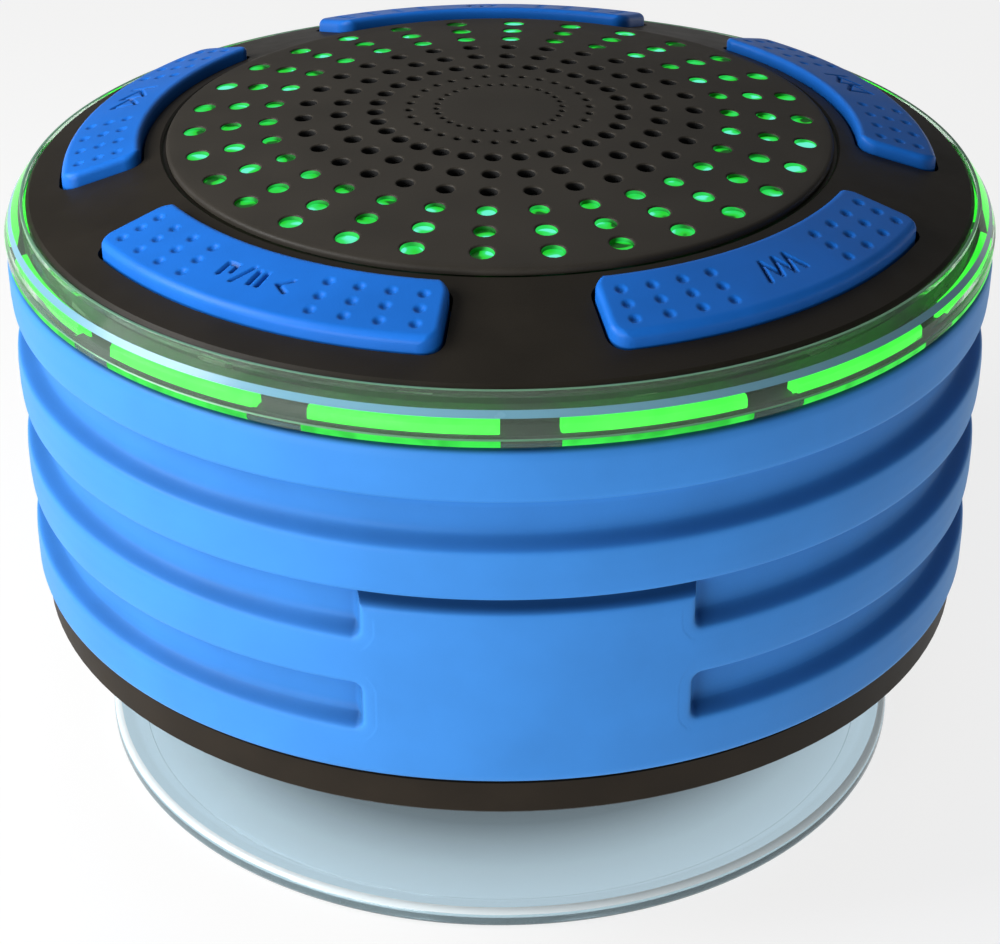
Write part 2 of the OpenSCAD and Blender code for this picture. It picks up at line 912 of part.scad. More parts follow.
module driver_pole_plate() {
    color("silver")
        tube(magnet_r - 1, gap_out_r, pole_plate_z, pole_plate_t - 0.02);
}

module voice_coil() {
    color([0.75, 0.4, 0.15]) {
        tube(coil_r, coil_r - 0.15, coil_bottom_z, cone_neck_z + 1 - coil_bottom_z);
        tube(coil_r + coil_t, coil_r - 0.1, coil_bottom_z, 6);
    }
}

module driver_cone() {
    color([0.08, 0.08, 0.08])
        rotate_extrude()
            polygon([
                [coil_r + 0.05, cone_neck_z],
                [coil_r + 0.6, cone_neck_z],
                [cone_r, cone_edge_z - cone_t],
                [cone_r + 0.4, cone_edge_z],
                [cone_r - 0.6, cone_edge_z],
                [coil_r + 0.05, cone_neck_z + 0.8]
            ]);
}

module dust_cap() {
    cap_r = 7.6;
    cap_h = 2.4;
    cap_z = cone_neck_z + 1.7;
    ball_r = (cap_r * cap_r + cap_h * cap_h) / (2 * cap_h);
    color([0.1, 0.1, 0.1])
        intersection() {
            translate([0, 0, cap_z + cap_h - ball_r])
                difference() {
                    sphere(r = ball_r, $fn = 180);
                    sphere(r = ball_r - 0.4, $fn = 180);
                }
            translate([0, 0, cap_z])
                cylinder(r = cap_r, h = 5);
        }
}

module driver_surround() {
    roll_r = (roll_out_r - cone_r) / 2;
    mid_r = (roll_out_r + cone_r) / 2;
    color([0.06, 0.06, 0.06])
        translate([0, 0, driver_front_z + 0.02])
            rotate_extrude()
                polygon(concat(
                    [[surround_out_r, 0], [surround_out_r, surround_t], [roll_out_r, surround_t]],
                    arc([mid_r, surround_t], roll_r, 0, 180, 12),
                    [[cone_r - 0.5, surround_t], [cone_r - 0.5, 0]],
                    [[cone_r + surround_t, 0]],
                    arc([mid_r, surround_t], roll_r - surround_t, 180, 0, 12),
                    [[roll_out_r - surround_t, 0]]
                ));
}

module driver_spider() {
    waves = 3;
    steps_n = 24;
    span = spider_out_r - 1.6 - spider_in_r - 0.6;
    function spider_point(i) = [
        spider_in_r + 0.6 + span * i / steps_n,
        basket_step_z + 0.7 - 0.5 * cos(360 * waves * i / steps_n)
    ];
    color([0.8, 0.65, 0.3])
        rotate_extrude()
            polygon(concat(
                [[spider_in_r, spider_point(0)[1]]],
                [for (i = [0:steps_n]) spider_point(i)],
                [[spider_out_r - 1.2, basket_step_z + 0.05], [spider_out_r - 0.2, basket_step_z + 0.05]],
                [[spider_out_r - 0.2, basket_step_z + 0.05 + spider_t]],
                [for (i = [steps_n:-1:0]) spider_point(i) + [0, spider_t]],
                [[spider_in_r, spider_point(0)[1] + spider_t]]
            ));
}

// ---------- boards and battery ----------

module main_board() {
    color([0.05, 0.32, 0.16])
        difference() {
            translate([0, 0, main_board_z + 0.02])
                cylinder(r = main_board_r, h = main_board_t - 0.02);
            for (p = board_posts)
                translate([p[0], p[1], main_board_z - 1])
                    cylinder(r = screw_r + 0.2, h = main_board_t + 2, $fn = 32);
            translate([0, battery_y - 2.4, 0])
                block(wire_pitch + 4, 3, main_board_z - 1, main_board_t + 2);
        }
}

module board_screws() {
    color("silver")
        for (p = board_posts)
            translate([p[0], p[1], main_board_top_z + 0.02])
                mirror([0, 0, 1])
                    screw(8);
}

module board_chips() {
    z = main_board_top_z + 0.02;
    color([0.1, 0.1, 0.1]) {
        translate([20, 22, 0])
            block(7, 7, z, 1);
        translate([24, -2, 0])
            block(5, 4.4, z, 1.1);
        translate([-22, -8, 0])
            block(6, 5, z, 1.2);
        translate([24, 10, 0])
            block(5, 5, z, 3);
        for (p = [[-30, 3], [-36, -3]])
            translate([p[0], p[1], z])
                cylinder(r = 2.5, h = 7, $fn = 48);
        rotate([0, 0, speaker_plug_angle])
            translate([speaker_plug_r, 0, 0])
                block(5, 7, z, speaker_plug_top_z - z);
        translate([0, battery_y + 2, 0])
            block(7, 4, z, 5.9);
    }
}

module wireless_module() {
    z = main_board_top_z + 0.02;
    color([0.7, 0.7, 0.72])
        translate([-20, 24, 0]) {
            block(17, 12, z, 0.8);
            translate([1.5, 0, 0])
                block(12, 10, z, 2.4);
        }
}

module usb_socket() {
    color("silver")
        translate([0, usb_y - usb_d / 2, 0])
            difference() {
                block(usb_w, usb_d, usb_z, usb_h);
                translate([0, 1, 0])
                    block(usb_w - 0.6, usb_d, usb_z + 0.3, usb_h - 0.6);
            }
}

module battery_cell() {
    color([0.75, 0.75, 0.78])
        translate([0, battery_y + battery_w / 2, battery_z])
            translate([-battery_l / 2, -battery_w / 2, 0])
                cube([battery_l, battery_w, battery_h]);
}

// Two leads that leave the cell's front end, rise through a slot in the board and turn back to a plug
module battery_wires() {
    wire_y = battery_y - 0.05 - wire_bend_r;
    down = main_board_z - battery_z - battery_h / 2 - wire_bend_r;
    color("firebrick")
        for (x = [-wire_pitch / 2, wire_pitch / 2])
            translate([x, wire_y, main_board_z])
                rotate([0, 0, -90]) {
                    lead(4, 0);
                    mirror([0, 0, 1])
                        lead(down, 0);
                }
}

// Two leads from a plug on the board up to the driver's frame
module speaker_wires() {
    rise = lead_top_z - wire_bend_r - speaker_plug_top_z;
    color("orange")
        rotate([0, 0, speaker_plug_angle])
            for (y = [-wire_pitch / 2, wire_pitch / 2])
                translate([speaker_plug_r, y, speaker_plug_top_z + 0.05])
                    lead(rise, speaker_plug_r - wire_bend_r - lead_end_r);
}

module board_ribbon() {
    color("lightgray")
        translate([0, ribbon_y, 0])
            block(ribbon_w, ribbon_t, main_board_top_z + 0.05, control_z - main_board_top_z - 0.1);
}

suction_cup();
cup_stud();
cup_washer();
base_cover();
threaded_insert();
base_seal();
base_screws();
housing();
silicone_sleeve();
port_flap();
top_plate();
plate_screws();
top_seal();
light_ring();
light_bars();
grille_disc();
grille_cloth();
glow_diffuser();
button(button_angles[0]);  // button_mode
button(button_angles[1]);  // button_next
button(button_angles[2]);  // button_power
button(button_angles[3]);  // button_previous
button(button_angles[4]);  // button_play
plunger(button_angles[0]);  // plunger_mode
plunger(button_angles[1]);  // plunger_next
plunger(button_angles[2]);  // plunger_power
plunger(button_angles[3]);  // plunger_previous
plunger(button_angles[4]);  // plunger_play
control_board();
switch_bodies();
grille_leds();
ring_leds();
microphone();
driver_basket();
driver_gasket();
driver_screws();
driver_magnet();
driver_yoke();
driver_pole_plate();
voice_coil();
driver_cone();
dust_cap();
driver_surround();
driver_spider();
main_board();
board_screws();
board_chips();
wireless_module();
usb_socket();
battery_cell();
battery_wires();
speaker_wires();
board_ribbon();
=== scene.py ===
import json
import math

import bmesh
import bpy
import numpy as np
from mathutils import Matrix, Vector


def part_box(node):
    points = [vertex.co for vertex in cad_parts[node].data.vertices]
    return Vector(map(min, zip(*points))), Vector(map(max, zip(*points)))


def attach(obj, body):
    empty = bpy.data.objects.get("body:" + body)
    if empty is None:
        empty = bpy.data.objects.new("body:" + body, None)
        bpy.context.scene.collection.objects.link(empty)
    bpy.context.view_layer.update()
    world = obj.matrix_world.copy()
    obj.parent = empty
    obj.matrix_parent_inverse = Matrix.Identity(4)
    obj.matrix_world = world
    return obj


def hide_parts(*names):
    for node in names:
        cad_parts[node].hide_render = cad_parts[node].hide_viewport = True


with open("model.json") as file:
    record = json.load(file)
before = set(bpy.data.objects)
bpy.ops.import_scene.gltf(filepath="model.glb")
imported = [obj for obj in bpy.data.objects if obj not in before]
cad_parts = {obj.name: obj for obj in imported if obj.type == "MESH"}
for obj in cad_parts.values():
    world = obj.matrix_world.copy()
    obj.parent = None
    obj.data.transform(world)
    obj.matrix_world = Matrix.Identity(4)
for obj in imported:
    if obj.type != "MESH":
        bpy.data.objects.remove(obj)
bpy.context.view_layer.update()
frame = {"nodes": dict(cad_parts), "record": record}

MM = 0.001
FRONT = math.radians(-90)  # the way the smooth front panel faces
TURN_STEPS = 360  # segments in a full turn of a lathed piece

# ---------- sizes, all taken from the frame ----------

SLEEVE_LO, SLEEVE_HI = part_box("silicone_sleeve")
BAR_LO, BAR_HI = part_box("light_bars")
GRILLE_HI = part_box("grille_disc")[1]
FLAP_LO, FLAP_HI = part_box("port_flap")

SLEEVE_R = SLEEVE_HI.x
GRILLE_R = GRILLE_HI.x
TOP_Z = GRILLE_HI.z / MM


# ---------- camera and light ----------

CAMERA_DISTANCE = 0.2893
LIGHT_AIM = Vector((0, 0, 0.04))  # the middle of the speaker


def make_camera():
    """A close camera a little left of the front, looking down at the speaker's middle."""
    aim = Vector((0, 0, 30.1 * MM))
    azimuth, elevation = math.radians(-3.05), math.radians(30.0)
    flat = math.cos(elevation)
    back = Vector((math.sin(azimuth) * flat, -math.cos(azimuth) * flat, math.sin(elevation)))
    camera = bpy.data.objects.new("camera", bpy.data.cameras.new("camera"))
    camera.data.lens = 84.8
    camera.data.sensor_width = 36
    camera.data.clip_start = 0.01
    camera.location = aim + back * CAMERA_DISTANCE
    camera.rotation_mode = "QUATERNION"
    camera.rotation_quaternion = (-back).to_track_quat("-Z", "Y")
    bpy.context.scene.collection.objects.link(camera)
    bpy.context.scene.camera = camera


def area_light(name, place, size, power):
    """A soft white light that faces the speaker."""
    light = bpy.data.lights.new(name, "AREA")
    light.shape = "RECTANGLE"
    light.size, light.size_y = size
    light.energy = power
    lamp = bpy.data.objects.new(name, light)
    lamp.location = place
    lamp.rotation_mode = "QUATERNION"
    lamp.rotation_quaternion = (Vector(place) - LIGHT_AIM).to_track_quat("Z", "Y")
    bpy.context.scene.collection.objects.link(lamp)


def make_studio():
    """Three soft lights, a dim warm world and a bright floor, for a plain white picture."""
    bpy.context.scene.view_settings.view_transform = "Standard"
    world = bpy.data.worlds.new("studio")
    world.use_nodes = True
    background = world.node_tree.nodes["Background"]
    background.inputs["Color"].default_value = (1.0, 0.97, 0.92, 1)
    background.inputs["Strength"].default_value = 0.12
    bpy.context.scene.world = world
    area_light("key", (-0.25, -0.05, 0.2), (0.16, 0.16), 0.8)
    area_light("front", (-0.5, -0.6, 0.14), (0.5, 0.25), 3.5)
    area_light("rim", (0.1, 0.7, 0.6), (0.8, 0.3), 0.4)
    bpy.ops.mesh.primitive_plane_add(size=6)
    floor = bpy.context.object
    floor.name = "floor"
    floor.location = (0, 0, -0.0002)
    floor.data.materials.append(surface(
        "floor_paint", (0.22, 0.22, 0.22), 0.9, Emission_Color=(1, 1, 1, 1), Emission_Strength=0.8
    ))


# ---------- materials ----------

def surface(
    name, colour, rough=0.5, metal=0.0, vary=0.0, grain=0.0, scale=1200, rough_vary=0.0,
    painted_cavity_shade=0.0, reach=6 * MM, **sockets
):
    """A Principled material whose colour, roughness and bump vary with noise over the object, with painted
    shade in its hollows when asked.
    """
    material = bpy.data.materials.new(name)
    material.use_nodes = True
    nodes, links = material.node_tree.nodes, material.node_tree.links
    shader = nodes["Principled BSDF"]
    shader.inputs["Base Color"].default_value = (*colour, 1)
    shader.inputs["Roughness"].default_value = rough
    shader.inputs["Metallic"].default_value = metal
    for socket, value in sockets.items():
        shader.inputs[socket.replace("_", " ")].default_value = value
    place = nodes.new("ShaderNodeTexCoord")
    if vary:
        noise = add_noise(nodes, links, place, scale / 8, 4)
        ramp = nodes.new("ShaderNodeValToRGB")
        ramp.color_ramp.elements[0].position = 0.3
        ramp.color_ramp.elements[1].position = 0.7
        ramp.color_ramp.elements[0].color = (*[c * (1 - vary) for c in colour], 1)
        ramp.color_ramp.elements[1].color = (*[min(1, c * (1 + vary)) for c in colour], 1)
        links.new(noise.outputs["Fac"], ramp.inputs["Fac"])
        links.new(ramp.outputs["Color"], shader.inputs["Base Color"])
    if painted_cavity_shade:
        shade_cavities(material, painted_cavity_shade, reach)
    if rough_vary:
        noise = add_noise(nodes, links, place, scale / 4, 3)
        span = nodes.new("ShaderNodeMapRange")
        span.inputs["To Min"].default_value = max(0.02, rough - rough_vary)
        span.inputs["To Max"].default_value = min(1, rough + rough_vary)
        links.new(noise.outputs["Fac"], span.inputs["Value"])
        links.new(span.outputs["Result"], shader.inputs["Roughness"])
    if grain:
        noise = add_noise(nodes, links, place, scale * 4, 2)
        bump = nodes.new("ShaderNodeBump")
        bump.inputs["Strength"].default_value = grain
        bump.inputs["Distance"].default_value = 0.05 * MM
        links.new(noise.outputs["Fac"], bump.inputs["Height"])
        links.new(bump.outputs["Normal"], shader.inputs["Normal"])
    return material


def shade_cavities(material, amount, reach):
    """Paints shade into the colour in hollows, most of all where they face up."""
    nodes, links = material.node_tree.nodes, material.node_tree.links
    hollow = nodes.new("ShaderNodeAmbientOcclusion")
    hollow.inputs["Distance"].default_value = reach
    closed_in = add_span(nodes, 0.95, 0.45, 0, 1)
    links.new(hollow.outputs["AO"], closed_in.inputs["Value"])
    place = nodes.new("ShaderNodeNewGeometry")
    parts = nodes.new("ShaderNodeSeparateXYZ")
    links.new(place.outputs["Normal"], parts.inputs["Vector"])
    upward = add_span(nodes, -0.3, 0.6, 0.35, 1)
    links.new(parts.outputs["Z"], upward.inputs["Value"])
    both = nodes.new("ShaderNodeMath")
    both.operation = "MULTIPLY"
    links.new(closed_in.outputs["Result"], both.inputs[0])
    links.new(upward.outputs["Result"], both.inputs[1])
    factor = add_span(nodes, 0, 1, 1, 1 - amount)
    links.new(both.outputs["Value"], factor.inputs["Value"])
    scale_colour(material, factor)


def thickness_and_shade_tint(material, low, high, amount):
    """Deepens the tint between two heights: partly as a clear wall grows thicker there, partly as painted
    shade under what stands above it.
    """
    nodes, links = material.node_tree.nodes, material.node_tree.links
    place = nodes.new("ShaderNodeTexCoord")
    parts = nodes.new("ShaderNodeSeparateXYZ")
    links.new(place.outputs["Object"], parts.inputs["Vector"])
    factor = add_span(nodes, low, high, 1, 1 - amount)
    links.new(parts.outputs["Z"], factor.inputs["Value"])
    scale_colour(material, factor)


def scale_colour(material, factor):
    """Multiplies a material's colour, or what feeds it, by a map-range node's result."""
    nodes, links = material.node_tree.nodes, material.node_tree.links
    base = nodes["Principled BSDF"].inputs["Base Color"]
    shade = nodes.new("ShaderNodeVectorMath")
    shade.operation = "SCALE"
    shade.inputs[0].default_value = base.default_value[:3]
    if base.links:
        links.new(base.links[0].from_socket, shade.inputs[0])
    links.new(factor.outputs["Result"], shade.inputs["Scale"])
    links.new(shade.outputs["Vector"], base)


def add_span(nodes, low, high, to_low, to_high):
    """A map-range node with its four ends set."""
    span = nodes.new("ShaderNodeMapRange")
    for socket, value in zip(("From Min", "From Max", "To Min", "To Max"), (low, high, to_low, to_high)):
        span.inputs[socket].default_value = value
    return span


def add_noise(nodes, links, place, scale, detail):
    """A noise node that follows the object."""
    noise = nodes.new("ShaderNodeTexNoise")
    noise.inputs["Scale"].default_value = scale
    noise.inputs["Detail"].default_value = detail
    links.new(place.outputs["Object"], noise.inputs["Vector"])
    return noise


def glow(name, colours, strength, scale):
    """A patchy emission between the given colours: milky lit plastic where light shines through it, and
    painted glow on the clear ring and the grille holes' walls.
    """
    material = surface(name, (0.01, 0.12, 0.02), 0.45, Specular_IOR_Level=0.2)
    nodes, links = material.node_tree.nodes, material.node_tree.links
    shader = nodes["Principled BSDF"]
    place = nodes.new("ShaderNodeTexCoord")
    noise = add_noise(nodes, links, place, scale, 1)
    ramp = nodes.new("ShaderNodeValToRGB")
    ramp.color_ramp.interpolation = "EASE"
    while len(ramp.color_ramp.elements) < len(colours):
        ramp.color_ramp.elements.new(0.5)
    for i, (position, colour) in enumerate(colours):
        ramp.color_ramp.elements[i].position = position
        ramp.color_ramp.elements[i].color = (*colour, 1)
    links.new(noise.outputs["Fac"], ramp.inputs["Fac"])
    links.new(ramp.outputs["Color"], shader.inputs["Emission Color"])
    shader.inputs["Emission Strength"].default_value = strength
    return material


def weave(name, colour, rough, pitch):
    """Fine square-woven cloth."""
    material = surface(name, colour, rough, vary=0.2)
    nodes, links = material.node_tree.nodes, material.node_tree.links
    place = nodes.new("ShaderNodeTexCoord")
    bump = nodes.new("ShaderNodeBump")
    bump.inputs["Strength"].default_value = 0.8
    bump.inputs["Distance"].default_value = 0.1 * MM
    total = nodes.new("ShaderNodeMath")
    for i, direction in enumerate(("X", "Y")):
        wave = nodes.new("ShaderNodeTexWave")
        wave.bands_direction = direction
        wave.inputs["Scale"].default_value = 0.314 / pitch
        links.new(place.outputs["Object"], wave.inputs["Vector"])
        links.new(wave.outputs["Fac"], total.inputs[i])
    links.new(total.outputs["Value"], bump.inputs["Height"])
    links.new(bump.outputs["Normal"], nodes["Principled BSDF"].inputs["Normal"])
    return material


# ---------- mesh building ----------

def new_piece(name, verts, faces, material, crease=38):
    """A clean mesh object with one material."""
    mesh = bpy.data.meshes.new(name)
    mesh.from_pydata([tuple(v) for v in verts], [], faces)
    mesh.validate()
    work = bmesh.new()
    work.from_mesh(mesh)
    bmesh.ops.remove_doubles(work, verts=work.verts, dist=1e-7)
    bmesh.ops.dissolve_degenerate(work, edges=work.edges, dist=1e-8)
    bmesh.ops.recalc_face_normals(work, faces=work.faces)
    work.to_mesh(mesh)
    work.free()
    piece = bpy.data.objects.new(name, mesh)
    bpy.context.scene.collection.objects.link(piece)
    smooth(piece, crease)
    mesh.materials.append(material)
    return piece


def smooth(piece, crease=38):
    """Smooth shading, with a hard edge wherever the faces turn by more than the crease angle."""
    piece.data.polygons.foreach_set("use_smooth", [True] * len(piece.data.polygons))
    piece.data.set_sharp_from_angle(angle=math.radians(crease))


def rounded(points, steps=6):
    """An outline whose corners (x, y, fillet) are rounded."""
    result = []
    count = len(points)
    for i, (x, y, fillet) in enumerate(points):
        p = Vector((x, y))
        before = (Vector(points[i - 1][:2]) - p).normalized()
        after = (Vector(points[(i + 1) % count][:2]) - p).normalized()
        if not fillet:
            result.append((x, y))
            continue
        half = before.angle(after) / 2
        centre = p + (before + after).normalized() * (fillet / math.sin(half))
        start = p + before * (fillet / math.tan(half)) - centre
        end = p + after * (fillet / math.tan(half)) - centre
        a0 = math.atan2(start.y, start.x)
        turn = (math.atan2(end.y, end.x) - a0 + math.pi) % (2 * math.pi) - math.pi
        for k in range(steps + 1):
            a = a0 + turn * k / steps
            result.append((centre.x + fillet * math.cos(a), centre.y + fillet * math.sin(a)))
    return result


def millimetres(points):
    """Points given in millimetres, as metres."""
    return [tuple(c * MM for c in p) for p in points]


def lathe(name, profile, material, segments=TURN_STEPS, crease=38):
    """A full turn of a closed (radius, height) outline about Z."""
    verts, faces = [], []
    count = len(profile)
    for s in range(segments):
        a = 2 * math.pi * s / segments
        verts += [(r * math.cos(a), r * math.sin(a), z) for r, z in profile]
    for s in range(segments):
        here, there = s * count, (s + 1) % segments * count
        for k in range(count):
            n = (k + 1) % count
            faces.append((here + k, here + n, there + n, there + k))
    return new_piece(name, verts, faces, material, crease)


def arc_blocks(name, profile, starts, span, steps, material):
    """Separate blocks, each a part turn of a closed outline, with softened ends."""
    verts, faces = [], []
    count = len(profile)
    middle = Vector((sum(p[0] for p in profile) / count, sum(p[1] for p in profile) / count))
    ends = [(0, 0.9), (0.006, 1)]  # share of the span, and the outline's size there
    stations = ends + [(0.15 + 0.7 * k / steps, 1) for k in range(steps + 1)]
    stations += [(1 - t, shrink) for t, shrink in reversed(ends)]
    for start in starts:
        first = len(verts)
        for t, shrink in stations:
            a = start + span * t
            for r, z in profile:
                q = middle + (Vector((r, z)) - middle) * shrink
                verts.append((q.x * math.cos(a), q.x * math.sin(a), q.y))
        for s in range(len(stations) - 1):
            for k in range(count):
                n = (k + 1) % count
                here, there = first + s * count, first + (s + 1) * count
                faces.append((here + k, here + n, there + n, there + k))
        last = first + (len(stations) - 1) * count
        faces.append(tuple(range(first, first + count)))
        faces.append(tuple(range(last, last + count)))
    return new_piece(name, verts, faces, material)


def cut(piece, low, high, corner):
    """Cuts a box with rounded edges, given in millimetres, out of a piece."""
    low, high = Vector(low) * MM, Vector(high) * MM
    bpy.ops.mesh.primitive_cube_add(size=1)
    tool = bpy.context.object
    tool.scale = high - low
    tool.location = (high + low) / 2
    bpy.context.view_layer.update()
    tool.data.transform(tool.matrix_world)
    tool.matrix_world.identity()
    bevel = tool.modifiers.new("round", "BEVEL")
    bevel.width = corner * MM
    bevel.segments = 5
    difference = piece.modifiers.new("cut", "BOOLEAN")
    difference.object = tool
    difference.solver = "EXACT"
    bpy.context.view_layer.update()
    graph = bpy.context.evaluated_depsgraph_get()
    result = bpy.data.meshes.new_from_object(piece.evaluated_get(graph))
    piece.modifiers.clear()
    piece.data = result
    bpy.data.objects.remove(tool)
    smooth(piece)


def show(piece, body, slot, *replaced):
    """Puts a finished piece on its body, in place of the CAD nodes it stands for."""
    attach(piece, body)
    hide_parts(*replaced)


# ---------- silicone sleeve, in millimetres ----------

GROOVE_DEPTH = 2.3
GROOVE_H = 5.6
GROOVE_WALL = 1.7  # how far in from its edge a groove reaches its full depth
GROOVE_END_ROUND = 1.1
GROOVE_FADE = 1.5  # further than this outside a groove, the sleeve is plain
GROOVE_SOFT = 0.05  # how gently a groove's edge sets in
GROOVE_POWER = 2.8  # how hollow a groove's wall is
PANEL_HALF = math.radians(17.6)
STRIP_H = 1.6  # the narrow groove over each smooth panel
HOUSING_R = 50.6
HOUSING_GAP = 0.15
FLAP_GAP = 0.3
FLAP_T = 1.1
RECESS_HALF = 7.5
PORT_HALF, PORT_LO, PORT_HI = 5.2, 36.8, 42.2
NAIL_HALF, NAIL_H, NAIL_DEPTH = 2.5, 1.2, 0.6  # the notch over the flap for a fingernail
CUT_FAR, CUT_NEAR = 60.0, 45.0  # well outside and well inside the sleeve's wall


def groove_mids():
    """Heights of the three grooves' middles."""
    bottom = SLEEVE_LO.z / MM
    return [bottom + GROOVE_H * (1.5 + 2 * i) for i in range(3)]


def groove_cut(angle, z):
    """Depth of the sleeve's grooves at an angle and a height, in millimetres."""
    off_panel = min(abs(turned(angle - FRONT)), abs(turned(angle + FRONT))) - PANEL_HALF
    along = off_panel * SLEEVE_R / MM
    mids = groove_mids()
    inside = [GROOVE_H / 2 - abs(z - mids[2])]
    for mid in mids[:2]:
        across = GROOVE_H / 2 - abs(z - mid)
        if along < GROOVE_END_ROUND and across < GROOVE_END_ROUND:
            gap = math.hypot(GROOVE_END_ROUND - along, GROOVE_END_ROUND - across)
            inside.append(GROOVE_END_ROUND - gap)
        else:
            inside.append(min(along, across))
    inside.append(STRIP_H / 2 - abs(z - mids[1] - (GROOVE_H - STRIP_H) / 2))
    inward = max(inside)
    if inward < -GROOVE_FADE:
        return 0.0
    soft = (inward + math.sqrt(inward * inward + GROOVE_SOFT)) / 2
    return GROOVE_DEPTH * (1 - max(0.0, 1 - soft / GROOVE_WALL) ** GROOVE_POWER)


def turned(angle):
    """The same angle between minus and plus half a turn."""
    return (angle + math.pi) % (2 * math.pi) - math.pi


def dense(low, high, step, edges, reach, fine):
    """Sample places from low to high that crowd together beside each edge."""
    places = list(np.arange(low, high, step))
    places = [p for p in places if all(abs(p - e) > reach for e in edges)]
    for e in edges:
        places += [p for p in np.arange(e - reach, e + reach, fine) if low <= p < high]
    return sorted(set(round(p, 6) for p in places))


def make_sleeve(material):
    """The sleeve with its grooves, and the recess and opening for the port at the back."""
    low, high = SLEEVE_LO.z / MM, SLEEVE_HI.z / MM
    edges = [m + k * GROOVE_H / 2 for m in groove_mids() for k in (-1, 1)]
    edges.append(groove_mids()[1] + GROOVE_H / 2 - STRIP_H)
    heights = dense(low + 0.75, high - 0.85, 0.45, edges, reach=1.0, fine=0.1)
    panel = math.degrees(PANEL_HALF)
    panel_ends = [-90 - panel, -90 + panel, 90 - panel, 90 + panel]
    turns = dense(-180, 180, 1.0, panel_ends, reach=2.0, fine=0.12)
    outer_r = SLEEVE_R / MM
    bottom_edge = ((0.75, 0), (0.38, 0.12), (0.12, 0.36))
    bottom = [(outer_r - inward, low + up) for inward, up in bottom_edge]
    top_edge = ((0.08, 0.5), (0.28, 0.2), (0.6, 0.04), (0.85, 0))
    top = [(outer_r - inward, high - down) for inward, down in top_edge]
    inner_r = HOUSING_R + HOUSING_GAP
    rings = []
    for degrees in turns:
        a = math.radians(degrees)
        ring = list(bottom)
        ring += [(outer_r - groove_cut(a, z), z) for z in heights]
        ring += top + [(inner_r, high), (inner_r, low)]
        rings.append([(r * MM * math.cos(a), r * MM * math.sin(a), z * MM) for r, z in ring])
    count = len(rings[0])
    verts = [v for ring in rings for v in ring]
    faces = []
    for s in range(len(rings)):
        here, there = s * count, (s + 1) % len(rings) * count
        for k in range(count):
            n = (k + 1) % count
            faces.append((here + k, there + k, there + n, here + n))
    sleeve = new_piece("sleeve_rubber", verts, faces, material, 60)
    recess_y = FLAP_LO.y / MM + FLAP_T
    recess_lo, recess_hi = FLAP_LO.z / MM - FLAP_GAP, FLAP_HI.z / MM + FLAP_GAP
    nail_lo = FLAP_HI.z / MM
    cut(sleeve, (-RECESS_HALF, recess_y, recess_lo), (RECESS_HALF, CUT_FAR, recess_hi), 0.5)
    cut(sleeve, (-PORT_HALF, CUT_NEAR, PORT_LO), (PORT_HALF, CUT_FAR, PORT_HI), 0.8)
    cut(sleeve, (-NAIL_HALF, recess_y + NAIL_DEPTH, nail_lo), (NAIL_HALF, CUT_FAR, nail_lo + NAIL_H), 0.4)
    show(sleeve, "main", "blue_silicone", "silicone_sleeve")


# ---------- grille, in millimetres ----------

DOME_R = 270.0
GRILLE_T = 0.8
GRILLE_ROWS = 30
CELLS_IN, CELLS_OUT = 5.6, 36.3  # the drilled part lies between these radii
RING_RADII = [34.4, 30.3, 26.1, 22.1, 18.1, 14, 10.2, 7.1]
HOLE_RADII = [1.25, 1.15, 1.05, 0.95, 0.95, 0.9, 0.42, 0.34]
CELL_STEPS = 8
# the outer rings whose holes' walls get the painted glow
LIT_RINGS = 3
HOLE_ROUND = 0.16
SMALL_HOLE_R = 0.5
UPRIGHT = 0.3  # faces whose normal rises less than this are the holes' walls


def dome(r, drop=0.0):
    """Height of the grille's face at a radius, in millimetres."""
    return TOP_Z - DOME_R + math.sqrt((DOME_R - drop) ** 2 - r * r)


def cell_border(r0, r1, a0, a1):
    """Points round a cell of the grille, an equal number on each side."""
    points = []
    n = CELL_STEPS
    points += [(r1, a0 + (a1 - a0) * k / n) for k in range(n)]
    points += [(r1 + (r0 - r1) * k / n, a1) for k in range(n)]
    points += [(r0, a1 + (a0 - a1) * k / n) for k in range(n)]
    points += [(r0 + (r1 - r0) * k / n, a0) for k in range(n)]
    return [(r * math.cos(a), r * math.sin(a)) for r, a in points]


